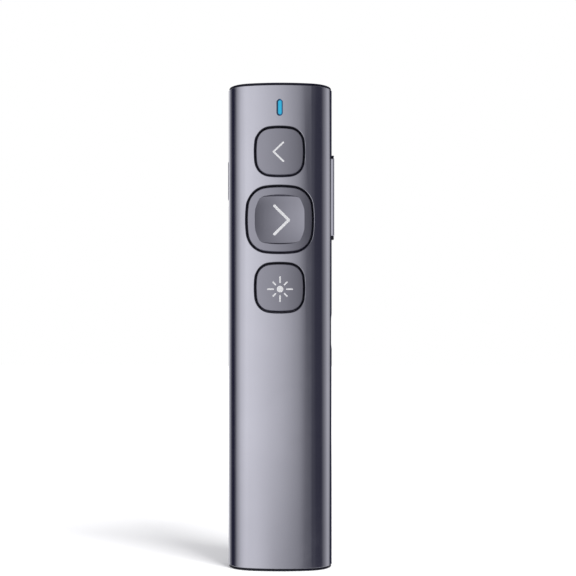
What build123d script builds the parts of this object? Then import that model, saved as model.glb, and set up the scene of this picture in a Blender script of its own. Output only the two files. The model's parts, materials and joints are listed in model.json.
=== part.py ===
from build123d import *
import os

# A wireless presentation clicker, standing on its tail. Units are millimetres. +Z runs up to the laser end,
# the keys face -Y, and +X is the side with the volume rocker. The origin is the middle of the tail face.

# Body: an aluminium tube of constant section, closed by two plastic end caps.
total_length = 128.2
half_width = 13.85
half_depth = 8.5
crown_radius = 34.0  # the gently crowned front and back
side_radius = 18.0
corner_radius = 7.3
tube_wall = 1.0
tube_end_chamfer = 0.3
rim_chamfer = 0.1  # broken edge round every opening in the tube
end_lip = 0.47  # exposed rim of each end cap
cap_setback = 0.2  # from the tube's skin to that rim
lip_edge = 0.25

# Liner: the key frame in front and the chassis behind it, both hugging the inside of the tube.
liner_out = tube_wall + 0.1
liner_in = liner_out + 1.0
liner_top = 125.2
chassis_bottom = 5.0
key_frame_bottom = 63.0

# Keys on the front, from the laser end down. The halves are those of the openings in the tube.
small_key_half = 6.75
large_key_half = 9.08
key_corner = 0.64  # corner radius of a key's outline, as a share of its half
key_bow = 3.5  # radius of its sides, likewise
prev_key_height = 110.1
next_key_height = 92.3
laser_key_height = 74.4
key_drop = 0.1  # the caps stand this far below the tube's face
key_inset = 0.36  # from the opening's edge to the cap
key_gap = 0.12  # from the cap to its black collar
collar_gap = 0.05  # from the collar to the tube
collar_drop = 0.3  # the collar stands this far below the tube's face
key_skin = 0.9
key_chamfer = 0.38
key_travel = 0.4
small_key_roof = 1.0
large_key_roof = 2.4
dish_half = 6.6
dish_extra = 0.35  # the dish is this much wider on either side than it is tall
dish_corner = 0.5
dish_bow = 5.0
dish_depth = 1.6
dish_slope = 28.0  # lean of the wall round the dish, in degrees
dish_radius_across = 28.0
dish_radius_along = 27.0

# Front board with the three key switches and the indicator, and the main board behind it.
board_thickness = 0.8
key_board_front = -3.9
key_board_back = key_board_front + board_thickness
main_board_front = 1.6
main_board_back = main_board_front + board_thickness
switch_top = -4.9
plunger_top = -5.45
plunger_radius = 1.1

# Indicator light.
indicator_height = 121.65
indicator_length = 4.3
indicator_width = 1.5
indicator_rim = 0.3

# Volume rocker on the right side.
rocker_height = 98.9
bezel_half_length = 11.2
bezel_half_width = 2.8
bezel_wall = 0.48
bezel_reach = half_width + 0.55  # how far the raised ends stand out
rocker_gap = 0.15
rocker_face = half_width + 0.64
rocker_back = half_width - 1.55
rocker_pivot = half_width - 1.1
pin_radius = 0.5
nub_offset = 7.0
nub_radius = 0.9
side_plunger_tip = half_width - 2.1
side_switch_front = half_width - 2.9
side_switch_length = 3.2
side_plunger_gap = 0.05

# Power switch on the left side, at the upper end of its slot.
power_height = 103.4
power_half_length = 5.2
power_half_width = 1.4
power_travel = 2.0
power_face = half_width + 0.1
power_floor = half_width - 0.65  # outer face of the guide that the knob slides on
guide_back = half_width - 1.9
power_switch_face = half_width - 2.9
power_lever_height = 104.3

# Charging socket, low on the right side.
socket_height = 63.0
socket_length = 8.94
socket_depth = 3.2
socket_mouth = half_width - 0.9
socket_back = socket_mouth - 7.4
socket_skin = 0.3

# Stowed USB receiver in a bay in the back.
bay_half_width = 8.65
bay_low = 7.6
bay_high = 32.4
bay_floor = 2.0
bay_back = 0.4
receiver_low = 11.2
head_length = 7.0
head_half_width = 7.8
plug_half_width = 6.0
plug_length = 12.0
plug_back = 2.85
plug_depth = 4.5
plug_skin = 0.3

# Battery and the web that carries it.
web_front = -0.6
web_back = 0.4
battery_low = 13.2
battery_length = 38.0
battery_half_width = 7.5
battery_thickness = 5.0
battery_tape = 0.3

# Laser module, on the axis of the tube.
barrel_radius = 3.0
barrel_low = 114.1
barrel_high = 125.9
aperture_radius = 2.1
window_radius = 3.25

# Fasteners and their places, as (x, z) on the boards and (x, y) in the tail.
screw_radius = 0.75
thread_gap = 0.02
screw_head = 0.8
driver_slot = 0.45  # width of the cross in a screw's head
key_board_screws = [(-7.5, 64.9), (7.5, 64.9), (-7.5, 119.6), (7.5, 119.6)]
main_board_screws = [(-8.3, 59.5), (8.3, 72.0), (-8.3, 90.0), (8.3, 98.7)]
tail_screws = [(-8.6, -1.4), (8.6, -1.4)]

os.makedirs("parts", exist_ok=True)


def save(piece, name):
    """Labels a finished piece and writes it to its own file."""
    piece.label = name
    export_step(piece, f"parts/{name}.step")


def oval(inset, z):
    """The body's cross-section at height z, moved inwards by inset."""
    with BuildSketch(Plane.XY.offset(z)) as outline:
        with Locations((0, crown_radius - half_depth)):
            Circle(crown_radius - inset)
        with Locations((0, half_depth - crown_radius)):
            Circle(crown_radius - inset, mode=Mode.INTERSECT)
        with Locations((half_width - side_radius, 0)):
            Circle(side_radius - inset, mode=Mode.INTERSECT)
        with Locations((side_radius - half_width, 0)):
            Circle(side_radius - inset, mode=Mode.INTERSECT)
        fillet(outline.vertices(), corner_radius - inset)
    return outline.sketch


def oval_prism(inset, low, high):
    """A solid with the body's cross-section, moved inwards by inset, between two heights."""
    with BuildPart() as prism:
        extrude(oval(inset, low), amount=high - low)
    return prism.part


def squircle(half, inset, height, y=-3.0, widen=0.0, corner=key_corner, bow=key_bow):
    """A key's soft square outline, moved inwards by inset, on a plane at depth y that faces the front."""
    bow_radius = bow * half
    with BuildSketch(Plane.XZ.offset(-y)) as outline:
        with Locations((half + widen - bow_radius, height)):
            Circle(bow_radius - inset)
        with Locations((bow_radius - half - widen, height)):
            Circle(bow_radius - inset, mode=Mode.INTERSECT)
        with Locations((0, height + half - bow_radius)):
            Circle(bow_radius - inset, mode=Mode.INTERSECT)
        with Locations((0, height - half + bow_radius)):
            Circle(bow_radius - inset, mode=Mode.INTERSECT)
        fillet(outline.vertices(), corner * half - inset)
    return outline.sketch


def back_block(half, low, high, y, amount, corner):
    """A rounded block behind the plane at depth y, running towards the back of the body."""
    with BuildPart() as block:
        with BuildSketch(Plane.XZ.offset(-y)):
            with Locations((0, (low + high) / 2)):
                RectangleRounded(2 * half, high - low, corner)
        extrude(amount=-amount)
    return block.part


past_face = 7.0  # a cut that starts 3 mm from the middle and runs this far clears the body


# ---------------------------------------------------------------- body tube and end caps

def touching(edges, faces):
    """The edges whose middles lie on one of the faces."""
    return [edge for edge in edges if min(face.distance_to(edge @ 0.5) for face in faces) < 0.001]


def key_opening(half, height):
    """What a key's opening takes out of the front wall."""
    with BuildPart() as cutter:
        extrude(squircle(half, 0, height), amount=past_face)
    return cutter.part


def side_cutter(side, height, length, width, corner):
    """What a rounded opening takes out of the right (+1) or left (-1) wall."""
    with BuildPart() as cutter:
        with BuildSketch(Plane.YZ.offset(side * 9)):
            with Locations((0, height)):
                RectangleRounded(width, length, corner)
        extrude(amount=side * past_face)
    return cutter.part


def indicator_cutter():
    """What the indicator's slot takes out of the front wall."""
    with BuildPart() as cutter:
        with BuildSketch(Plane.XZ.offset(3)):
            with Locations((0, indicator_height)):
                SlotOverall(indicator_length, indicator_width, rotation=90)
        extrude(amount=past_face)
    return cutter.part


rocker_opening = (2 * (bezel_half_length + collar_gap), 2 * (bezel_half_width + collar_gap), 1.0)
socket_opening = (socket_length + 0.66, socket_depth + 0.7, (socket_depth + 0.7) / 2 - 0.001)
power_opening = (2 * (power_half_length + 0.1) + power_travel, 2 * (power_half_width + 0.1), 1.0)

with BuildPart() as body_tube:
    tube_low, tube_high = end_lip, total_length - end_lip
    add(oval_prism(0, tube_low, tube_high))
    skin = body_tube.faces().filter_by(Axis.Z, reverse=True)
    chamfer(body_tube.faces().filter_by(Axis.Z).edges(), tube_end_chamfer)
    add(oval_prism(tube_wall, tube_low, tube_high), mode=Mode.SUBTRACT)
    for cutter in (
        key_opening(small_key_half, prev_key_height),
        key_opening(large_key_half, next_key_height),
        key_opening(small_key_half, laser_key_height),
        indicator_cutter(),
        side_cutter(1, rocker_height, *rocker_opening),
        side_cutter(1, socket_height, *socket_opening),
        side_cutter(-1, power_height - power_travel / 2, *power_opening),
        back_block(bay_half_width + 0.1, bay_low - 0.1, bay_high + 0.1, 3, past_face, 1.6),
    ):
        add(cutter, mode=Mode.SUBTRACT)
        chamfer(touching(touching(body_tube.edges(), skin), cutter.faces()), rim_chamfer)
save(body_tube.part, "body_tube")

with BuildPart() as nose_cap:
    plug_low, plate_low = liner_top + 0.1, barrel_high + 0.1
    add(oval_prism(cap_setback, total_length - end_lip, total_length))
    fillet(nose_cap.faces().sort_by(Axis.Z)[-1].edges(), lip_edge)
    add(oval_prism(liner_out, plug_low, total_length - end_lip))
    add(oval_prism(liner_in, plug_low, plate_low), mode=Mode.SUBTRACT)
    with Locations((0, 0, total_length)):
        CounterBoreHole(aperture_radius, window_radius + 0.05, 1.0)
save(nose_cap.part, "nose_cap")

with BuildPart() as laser_window:
    with BuildSketch(Plane.XY.offset(total_length - 1.0)):
        Circle(window_radius)
    extrude(amount=0.8)
    chamfer(laser_window.edges().sort_by(Axis.Z)[-1], 0.15)
save(laser_window.part, "laser_window")

pad_thickness = 0.6
head_seat = 1.7  # height of the seat under the tail screws' heads

with BuildPart() as tail_cap:
    add(oval_prism(cap_setback, 0, end_lip))
    fillet(tail_cap.faces().sort_by(Axis.Z)[0].edges(), lip_edge)
    add(oval_prism(liner_out, end_lip, chassis_bottom))
    add(oval_prism(liner_in, 2.4, chassis_bottom), mode=Mode.SUBTRACT)
    with BuildSketch(Plane.XY.offset(2.4)):
        with Locations(*tail_screws):
            Circle(1.8)
    extrude(amount=chassis_bottom - 2.4)
    add(oval_prism(2.0, 0, pad_thickness), mode=Mode.SUBTRACT)
    with BuildSketch(Plane.XY):
        with Locations(*tail_screws):
            Circle(1.55)
    extrude(amount=head_seat, mode=Mode.SUBTRACT)
    with BuildSketch(Plane.XY):
        with Locations(*tail_screws):
            Circle(screw_radius + 0.1)
    extrude(amount=chassis_bottom, mode=Mode.SUBTRACT)
save(tail_cap.part, "tail_cap")

with BuildPart() as tail_pad:
    add(oval_prism(2.05, 0, pad_thickness))
save(tail_pad.part, "tail_pad")

# ---------------------------------------------------------------- keys


def key_tabs(half, height):
    """The two lugs of a key, which catch behind the key frame above and below it."""
    reach = half - key_inset + 1.0
    with BuildPart() as tabs:
        with BuildSketch(Plane.XZ.offset(3)):
            with Locations((0, height)):
                Rectangle(9, 2 * reach)
        extrude(amount=past_face)
        add(oval_prism(liner_in + 0.05, height - 20, height + 20), mode=Mode.INTERSECT)
        add(oval_prism(liner_in + 0.9, height - 20, height + 20), mode=Mode.SUBTRACT)
        extrude(squircle(half, key_inset + key_skin, height), amount=past_face, mode=Mode.SUBTRACT)
    return tabs.part


def key_hollow(half, height, roof):
    """The space inside a key's skirt, up to the underside of its cap."""
    with BuildPart() as hollow:
        extrude(squircle(half, key_inset + key_skin, height), amount=past_face)
        add(oval_prism(roof, height - 20, height + 20), mode=Mode.INTERSECT)
    return hollow.part


def dish(height):
    """The tool that sinks the large key's thumb dish: concave across and along, with a leaning wall."""
    ring_radius = dish_radius_across - dish_radius_along
    deepest = -half_depth + dish_depth
    with BuildPart() as bowl:
        rim = squircle(dish_half, 0, height, -half_depth, dish_extra, dish_corner, dish_bow)
        extrude(rim, amount=-3, taper=dish_slope)
        with Locations((0, deepest - dish_radius_across, height)):
            Torus(ring_radius, dish_radius_along, mode=Mode.INTERSECT)
    return bowl.part


def key_cap(half, height, roof, sink=None):
    """A crowned cap with a skirt and tabs, and a boss that ends on its switch's plunger."""
    with BuildPart() as cap:
        extrude(squircle(half, key_inset, height, plunger_top), amount=past_face)
        add(oval_prism(key_drop, height - 20, height + 20), mode=Mode.INTERSECT)
        rim = cap.edges().filter_by_position(Axis.Y, -9, plunger_top - 0.5).filter_by(Axis.Z, reverse=True)
        chamfer(rim, key_chamfer)
        if sink:
            add(sink, mode=Mode.SUBTRACT)
        add(key_hollow(half, height, roof), mode=Mode.SUBTRACT)
        with BuildSketch(Plane.XZ.offset(-plunger_top)):
            with Locations((0, height)):
                Circle(1.5)
        extrude(amount=half_depth - roof + plunger_top + 0.3)
        add(key_tabs(half, height))
    return cap.part


for name, height in (("prev", prev_key_height), ("laser", laser_key_height)):
    save(key_cap(small_key_half, height, small_key_roof), f"{name}_key")
save(key_cap(large_key_half, next_key_height, large_key_roof, dish(next_key_height)), "next_key")

# ---------------------------------------------------------------- key frame and indicator


def collar(half, height):
    """The black rim that stands in a key's opening and guides its skirt."""
    with BuildPart() as rim:
        extrude(squircle(half, collar_gap, height), amount=past_face)
        add(oval_prism(collar_drop, height - 20, height + 20), mode=Mode.INTERSECT)
        add(oval_prism(liner_in, height - 20, height + 20), mode=Mode.SUBTRACT)
    return rim.part


with BuildPart() as key_frame:
    add(oval_prism(liner_out, key_frame_bottom, liner_top))
    add(oval_prism(liner_in, key_frame_bottom, liner_top), mode=Mode.SUBTRACT)
    split(bisect_by=Plane.XZ.offset(-key_board_front), keep=Keep.TOP)
    with BuildSketch(Plane.XZ.offset(-key_board_front)):
        with Locations(*key_board_screws):
            Circle(1.6)
    extrude(amount=2.1)
    with BuildSketch(Plane.XZ.offset(-key_board_front)):
        with Locations(*key_board_screws):
            Circle(screw_radius + thread_gap)
    extrude(amount=1.9, mode=Mode.SUBTRACT)
    for half, height in (
        (small_key_half, prev_key_height),
        (large_key_half, next_key_height),
        (small_key_half, laser_key_height),
    ):
        add(collar(half, height))
        extrude(squircle(half, key_inset - key_gap, height), amount=past_face, mode=Mode.SUBTRACT)
    with BuildSketch(Plane.XZ.offset(3)):
        with Locations((0, indicator_height)):
            SlotOverall(indicator_length - 2 * indicator_rim, indicator_width - 2 * indicator_rim, rotation=90)
    extrude(amount=past_face, mode=Mode.SUBTRACT)
save(key_frame.part, "key_frame")

with BuildPart() as indicator_bezel:
    with BuildSketch(Plane.XZ.offset(half_depth - liner_out)):
        with Locations((0, indicator_height)):
            SlotOverall(indicator_length - 0.1, indicator_width - 0.1, rotation=90)
            SlotOverall(
                indicator_length - 2 * indicator_rim,
                indicator_width - 2 * indicator_rim,
                rotation=90,
                mode=Mode.SUBTRACT,
            )
    extrude(amount=2)
    add(oval_prism(0.06, indicator_height - 5, indicator_height + 5), mode=Mode.INTERSECT)
save(indicator_bezel.part, "indicator_bezel")

with BuildPart() as indicator_lens:
    lens_width = indicator_width - 2 * indicator_rim - 0.06
    lens_length = indicator_length - 2 * indicator_rim - 0.06
    with BuildSketch(Plane.XZ.offset(5.4)):
        with Locations((0, indicator_height)):
            SlotOverall(lens_length, lens_width, rotation=90)
    extrude(amount=4)
    add(oval_prism(0.1, indicator_height - 5, indicator_height + 5), mode=Mode.INTERSECT)
    with BuildSketch(Plane.XZ.offset(5.7)):
        with Locations((0, indicator_height)):
            SlotOverall(lens_length + 1.2, lens_width + 1.2, rotation=90)
    extrude(amount=0.65)
save(indicator_lens.part, "indicator_lens")

# ---------------------------------------------------------------- front board and its switches

with BuildPart() as key_board:
    with BuildSketch(Plane.XZ.offset(-key_board_back)):
        with Locations((0, (key_frame_bottom + liner_top) / 2)):
            RectangleRounded(22.4, liner_top - key_frame_bottom - 0.4, 1.5)
        with Locations(*key_board_screws):
            Circle(screw_radius + 0.1, mode=Mode.SUBTRACT)
    extrude(amount=board_thickness)
save(key_board.part, "key_board")

for name, height in (("prev", prev_key_height), ("next", next_key_height), ("laser", laser_key_height)):
    with BuildPart() as switch_body:
        with BuildSketch(Plane.XZ.offset(-key_board_front)):
            with Locations((0, height)):
                RectangleRounded(4.6, 4.6, 0.5)
        extrude(amount=key_board_front - switch_top)
        with BuildSketch(Plane.XZ.offset(-key_board_front)):
            with Locations((0, height)):
                Circle(plunger_radius + 0.08)
        extrude(amount=2, mode=Mode.SUBTRACT)
    save(switch_body.part, f"{name}_switch")

    with BuildPart() as plunger:
        with BuildSketch(Plane.XZ.offset(-key_board_front + key_travel + 0.05)):
            with Locations((0, height)):
                Circle(plunger_radius)
        extrude(amount=key_board_front - key_travel - 0.05 - plunger_top)
    save(plunger.part, f"{name}_plunger")

with BuildPart() as indicator_light:
    with BuildSketch(Plane.XZ.offset(-key_board_front)):
        with Locations((0, indicator_height)):
            Rectangle(0.8, 1.6)
    extrude(amount=0.6)
save(indicator_light.part, "indicator_light")

with BuildPart() as key_board_fixings:
    with BuildSketch(Plane.XZ.offset(-key_board_back)):
        with Locations(*key_board_screws):
            Circle(screw_radius)
    extrude(amount=board_thickness + 1.7)
    with BuildSketch(Plane.XZ.offset(-key_board_back)):
        with Locations(*key_board_screws):
            Circle(1.3)
    extrude(amount=-screw_head)
    with BuildSketch(Plane.XZ.offset(-key_board_back - screw_head)):
        with Locations(*key_board_screws):
            Rectangle(1.7, driver_slot)
            Rectangle(driver_slot, 1.7)
    extrude(amount=0.45, mode=Mode.SUBTRACT)
save(key_board_fixings.part, "key_board_screws")

# ---------------------------------------------------------------- volume rocker, on the right side

with BuildPart() as rocker_bezel:
    ring_back = side_plunger_tip
    with BuildSketch(Plane.YZ.offset(ring_back)):
        with Locations((0, rocker_height)):
            RectangleRounded(2 * bezel_half_width, 2 * bezel_half_length, 0.95)
    extrude(amount=bezel_reach - ring_back)
    add(oval_prism(0, rocker_height - 20, rocker_height + 20), mode=Mode.INTERSECT)
    # Raised ends, which shield the two ends of the rocker.
    with BuildSketch(Plane.YZ.offset(ring_back)):
        with Locations((0, rocker_height)):
            RectangleRounded(2 * bezel_half_width - 1.2, 2 * bezel_half_length, 0.9)
            Rectangle(2 * bezel_half_width, 2 * (bezel_half_length - bezel_wall), mode=Mode.SUBTRACT)
    extrude(amount=bezel_reach - ring_back)
    fillet(rocker_bezel.faces().sort_by(Axis.X)[-2:].edges(), 0.12)
    with BuildSketch(Plane.YZ.offset(ring_back - 0.1)):
        with Locations((0, rocker_height)):
            Rectangle(3.0, 2 * (bezel_half_length + 1.0))
    extrude(amount=0.85)
    with BuildSketch(Plane.YZ.offset(ring_back - 0.2)):
        with Locations((0, rocker_height)):
            RectangleRounded(2 * (bezel_half_width - 0.5), 2 * (bezel_half_length - bezel_wall), 0.7)
    extrude(amount=5, mode=Mode.SUBTRACT)
    with BuildSketch(Plane.XZ):
        with Locations((rocker_pivot, rocker_height)):
            Circle(pin_radius)
    extrude(amount=5, both=True, mode=Mode.SUBTRACT)
save(rocker_bezel.part, "rocker_bezel")

with BuildPart() as volume_rocker:
    rocker_half_length = bezel_half_length - bezel_wall - rocker_gap
    rocker_half_width = bezel_half_width - 0.5 - rocker_gap
    with BuildSketch(Plane.YZ.offset(rocker_back)):
        with Locations((0, rocker_height)):
            RectangleRounded(2 * rocker_half_width, 2 * rocker_half_length, 0.6)
    extrude(amount=rocker_face - rocker_back)
    fillet(volume_rocker.faces().sort_by(Axis.X)[-1].edges(), 0.3)
    # Hub round the pivot pin, and the nubs that press the two side switches.
    with BuildSketch(Plane.XZ):
        with Locations((rocker_pivot, rocker_height)):
            Circle(1.0)
    extrude(amount=rocker_half_width, both=True)
    with BuildSketch(Plane.YZ.offset(side_plunger_tip + side_plunger_gap)):
        with Locations((0, rocker_height + nub_offset), (0, rocker_height - nub_offset)):
            Circle(nub_radius)
    extrude(amount=1)
    with BuildSketch(Plane.XZ):
        with Locations((rocker_pivot, rocker_height)):
            Circle(pin_radius + 0.03)
    extrude(amount=5, both=True, mode=Mode.SUBTRACT)
    # Engraved plus and minus.
    with BuildSketch(Plane.YZ.offset(rocker_face - 0.15)):
        with Locations((0, rocker_height + nub_offset)):
            SlotOverall(1.9, 0.4)
            SlotOverall(1.9, 0.4, rotation=90)
        with Locations((0, rocker_height - nub_offset)):
            SlotOverall(1.9, 0.4)
    extrude(amount=1, mode=Mode.SUBTRACT)
save(volume_rocker.part, "volume_rocker")

with BuildPart() as rocker_pin:
    with BuildSketch(Plane.XZ):
        with Locations((rocker_pivot, rocker_height)):
            Circle(pin_radius)
    extrude(amount=bezel_half_width - 0.05, both=True)
save(rocker_pin.part, "rocker_pin")

for name, offset in (("volume_up", nub_offset), ("volume_down", -nub_offset)):
    with BuildPart() as side_switch:
        with BuildSketch(Plane.YZ.offset(side_switch_front - side_switch_length)):
            with Locations((0, rocker_height + offset)):
                Rectangle(2 * main_board_front, 4.5)
        extrude(amount=side_switch_length)
        with BuildSketch(Plane.YZ.offset(side_switch_front - 1.4)):
            with Locations((0, rocker_height + offset)):
                Circle(nub_radius + 0.06)
        extrude(amount=2, mode=Mode.SUBTRACT)
    save(side_switch.part, f"{name}_switch")

    with BuildPart() as side_plunger:
        with BuildSketch(Plane.YZ.offset(side_switch_front - 1.0)):
            with Locations((0, rocker_height + offset)):
                Circle(nub_radius)
        extrude(amount=side_plunger_tip - side_switch_front + 1.0)
    save(side_plunger.part, f"{name}_plunger")

# ---------------------------------------------------------------- power switch, on the left side

stem_half_length, stem_half_width = 1.5, 1.05

with BuildPart() as power_guide:
    guide_height = power_height - power_travel / 2
    with BuildSketch(Plane.YZ.offset(-guide_back)):
        with Locations((0, guide_height)):
            RectangleRounded(2 * power_half_width + 0.1, 2 * power_half_length + power_travel + 0.1, 0.9)
    extrude(amount=guide_back - power_floor)
    with BuildSketch(Plane.YZ.offset(-guide_back)):
        with Locations((0, guide_height)):
            Rectangle(4.0, 2 * power_half_length + power_travel + 2.4)
    extrude(amount=-0.6)
    with BuildSketch(Plane.YZ.offset(-guide_back + 1)):
        with Locations((0, power_lever_height - power_travel / 2)):
            Rectangle(2 * stem_half_width + 0.2, 2 * stem_half_length + power_travel + 0.2)
    extrude(amount=-4, mode=Mode.SUBTRACT)
save(power_guide.part, "power_guide")

with BuildPart() as power_knob:
    with BuildSketch(Plane.YZ.offset(-power_floor - 0.05)):
        with Locations((0, power_height)):
            RectangleRounded(2 * power_half_width, 2 * power_half_length, 0.9)
    extrude(amount=power_floor + 0.05 - power_face)
    fillet(power_knob.faces().sort_by(Axis.X)[0].edges(), 0.2)
    # Grip grooves across the knob.
    with BuildSketch(Plane.YZ.offset(-power_face)):
        with Locations((0, power_height)):
            with GridLocations(0, 0.9, 1, 7):
                Rectangle(2 * power_half_width - 0.8, 0.4)
    extrude(amount=0.25, mode=Mode.SUBTRACT)
    with BuildSketch(Plane.YZ.offset(-guide_back)):
        with Locations((0, power_lever_height)):
            Rectangle(2 * stem_half_width, 2 * stem_half_length)
    extrude(amount=guide_back - power_floor - 0.2)
    with BuildSketch(Plane.YZ.offset(-guide_back)):
        with Locations((0, power_lever_height)):
            Rectangle(1.3, 1.6)
    extrude(amount=-1.0, mode=Mode.SUBTRACT)
save(power_knob.part, "power_knob")

with BuildPart() as power_switch:
    with BuildSketch(Plane.YZ.offset(-power_switch_face)):
        with Locations((0, power_height - power_travel / 2)):
            Rectangle(2 * main_board_front, 8.8)
    extrude(amount=3.5)
    with BuildSketch(Plane.YZ.offset(-power_switch_face)):
        with Locations((0, power_lever_height - power_travel / 2)):
            Rectangle(1.3, 1.6 + power_travel)
    extrude(amount=2, mode=Mode.SUBTRACT)
save(power_switch.part, "power_switch")

with BuildPart() as power_lever:
    with BuildSketch(Plane.YZ.offset(0.1 - guide_back - 1.0)):
        with Locations((0, power_lever_height)):
            Rectangle(1.2, 1.5)
    extrude(amount=guide_back + 0.9 - power_switch_face + 1.9)
save(power_lever.part, "power_lever")

# ---------------------------------------------------------------- charging socket, on the right side


def socket_outline(inset, x):
    """The socket's pill-shaped section, moved inwards by inset, at x."""
    with BuildSketch(Plane.YZ.offset(x)) as outline:
        with Locations((0, socket_height)):
            SlotOverall(socket_length - 2 * inset, socket_depth - 2 * inset, rotation=90)
    return outline.sketch


with BuildPart() as socket_shell:
    extrude(socket_outline(0, socket_back), amount=socket_mouth - socket_back)
    extrude(socket_outline(socket_skin, socket_back), amount=socket_mouth, mode=Mode.SUBTRACT)
save(socket_shell.part, "socket_shell")

with BuildPart() as socket_tongue:
    extrude(socket_outline(socket_skin, socket_back), amount=1.5)
    with BuildSketch(Plane.YZ.offset(socket_back)):
        with Locations((0, socket_height)):
            Rectangle(0.7, 6.7)
    extrude(amount=socket_mouth - 0.8 - socket_back)
save(socket_tongue.part, "socket_tongue")

with BuildPart() as socket_contacts:
    with BuildSketch(Plane.YZ.offset(socket_back + 1.5)):
        with Locations((0.38, socket_height), (-0.38, socket_height)):
            with GridLocations(0, 0.5, 1, 12):
                Rectangle(0.06, 0.25)
    extrude(amount=4.8)
save(socket_contacts.part, "socket_contacts")

# ---------------------------------------------------------------- USB receiver and its bay, in the back

receiver_split = receiver_low + head_length  # where the moulded head ends and the plug starts
plug_middle = plug_back + plug_depth / 2
magnet_radius = 3.0


with BuildPart() as receiver_bay:
    add(back_block(bay_half_width, bay_low, bay_high, bay_back, 9, 1.5))
    add(oval_prism(0.05, bay_low - 1, bay_high + 1), mode=Mode.INTERSECT)
    # The receiver's own space: a wide part for its head and a narrower one for its plug.
    head_space = (head_half_width + 0.2, receiver_low - 0.2, receiver_split + 0.2)
    plug_space = (plug_half_width + 0.3, receiver_split - 2, receiver_split + plug_length + 0.6)
    add(back_block(*head_space, bay_floor, 9, 1.0), mode=Mode.SUBTRACT)
    add(back_block(*plug_space, bay_floor, 9, 0.8), mode=Mode.SUBTRACT)
    # Trough that lets a fingernail under the receiver's head.
    with Locations((0, half_depth - 0.1, receiver_low)):
        Cylinder(3.0, 10, rotation=(0, 90, 0), mode=Mode.SUBTRACT)
    # Pocket for the magnet, open towards the web.
    with BuildSketch(Plane.XZ.offset(-bay_back)):
        with Locations((0, receiver_split + plug_length / 2)):
            Circle(magnet_radius + 0.05)
    extrude(amount=-1.1, mode=Mode.SUBTRACT)
save(receiver_bay.part, "receiver_bay")

with BuildPart() as bay_magnet:
    with BuildSketch(Plane.XZ.offset(-bay_back)):
        with Locations((0, receiver_split + plug_length / 2)):
            Circle(magnet_radius)
    extrude(amount=-1.0)
save(bay_magnet.part, "bay_magnet")

with BuildPart() as receiver_head:
    add(back_block(head_half_width, receiver_low, receiver_split, bay_floor + 0.1, 9, 0.9))
    add(oval_prism(0.15, receiver_low - 1, receiver_split + 1), mode=Mode.INTERSECT)
    back_rim = receiver_head.edges().filter_by_position(Axis.Y, 6.5, 9).filter_by(Axis.Z, reverse=True)
    fillet(back_rim.filter_by(Axis.Y, reverse=True), 0.3)
    # Slot for the board's end.
    with BuildSketch(Plane.XY.offset(receiver_low + 1.2)):
        with Locations((0, plug_back + 1.9)):
            Rectangle(10.6, 0.9)
    extrude(amount=head_length, mode=Mode.SUBTRACT)
save(receiver_head.part, "receiver_head")

with BuildPart() as receiver_shell:
    with BuildSketch(Plane.XY.offset(receiver_split)):
        with Locations((0, plug_middle)):
            RectangleRounded(2 * plug_half_width, plug_depth, 0.35)
            Rectangle(2 * (plug_half_width - plug_skin), plug_depth - 2 * plug_skin, mode=Mode.SUBTRACT)
    extrude(amount=plug_length)
    # The latch windows, two on each broad side.
    with BuildSketch(Plane.XZ.offset(-plug_back + 1)):
        with Locations((-2.6, receiver_split + 6.2), (2.6, receiver_split + 6.2)):
            Rectangle(2.2, 2.4)
    extrude(amount=-8, mode=Mode.SUBTRACT)
save(receiver_shell.part, "receiver_shell")

with BuildPart() as receiver_board:
    with BuildSketch(Plane.XY.offset(receiver_low + 1.3)):
        with Locations((0, plug_back + 1.9)):
            Rectangle(10.4, 0.8)
    extrude(amount=receiver_split - receiver_low - 1.3)
save(receiver_board.part, "receiver_board")

with BuildPart() as receiver_tongue:
    with BuildSketch(Plane.XY.offset(receiver_split)):
        with Locations((0, plug_back + plug_skin + 1.0)):
            Rectangle(2 * (plug_half_width - plug_skin) - 0.1, 1.9)
    extrude(amount=plug_length - 0.4)
save(receiver_tongue.part, "receiver_tongue")

with BuildPart() as receiver_contacts:
    with BuildSketch(Plane.XZ.offset(-(plug_back + plug_skin + 1.95))):
        for x, width in ((-3.5, 1.4), (-1.1, 1.1), (1.1, 1.1), (3.5, 1.4)):
            with Locations((x, receiver_split + plug_length / 2 + 0.6)):
                Rectangle(width, plug_length - 3.0)
    extrude(amount=-0.1)
save(receiver_contacts.part, "receiver_contacts")

# ---------------------------------------------------------------- laser module

bore_radius = 1.8
lens_seat = 124.2

with BuildPart() as laser_barrel:
    with BuildSketch(Plane.XY.offset(barrel_low)):
        Circle(barrel_radius)
    extrude(amount=barrel_high - barrel_low)
    chamfer(laser_barrel.edges().filter_by(GeomType.CIRCLE), 0.2)
    with BuildSketch(Plane.XY.offset(barrel_low)):
        Circle(bore_radius)
    extrude(amount=barrel_high - barrel_low, mode=Mode.SUBTRACT)
    with BuildSketch(Plane.XY.offset(lens_seat)):
        Circle(2.3)
    extrude(amount=barrel_high - lens_seat, mode=Mode.SUBTRACT)
    with BuildSketch(Plane.XY.offset(barrel_low)):
        Circle(2.55)
    extrude(amount=1.2, mode=Mode.SUBTRACT)
save(laser_barrel.part, "laser_barrel")

with BuildPart() as laser_lens:
    with BuildSketch(Plane.XY.offset(lens_seat)):
        Circle(2.25)
    extrude(amount=1.1)
    fillet(laser_lens.edges().sort_by(Axis.Z)[-1], 0.5)
save(laser_lens.part, "laser_lens")

with BuildPart() as laser_diode:
    with BuildSketch(Plane.XY.offset(barrel_low)):
        Circle(2.5)
    extrude(amount=1.1)
    with BuildSketch(Plane.XY.offset(barrel_low)):
        Circle(bore_radius - 0.1)
    extrude(amount=2.6)
save(laser_diode.part, "laser_diode")

with BuildPart() as laser_driver:
    with BuildSketch(Plane.XY.offset(barrel_low)):
        Circle(2.7)
    extrude(amount=-board_thickness)
save(laser_driver.part, "laser_driver")

# ---------------------------------------------------------------- main board and what is on it

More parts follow.
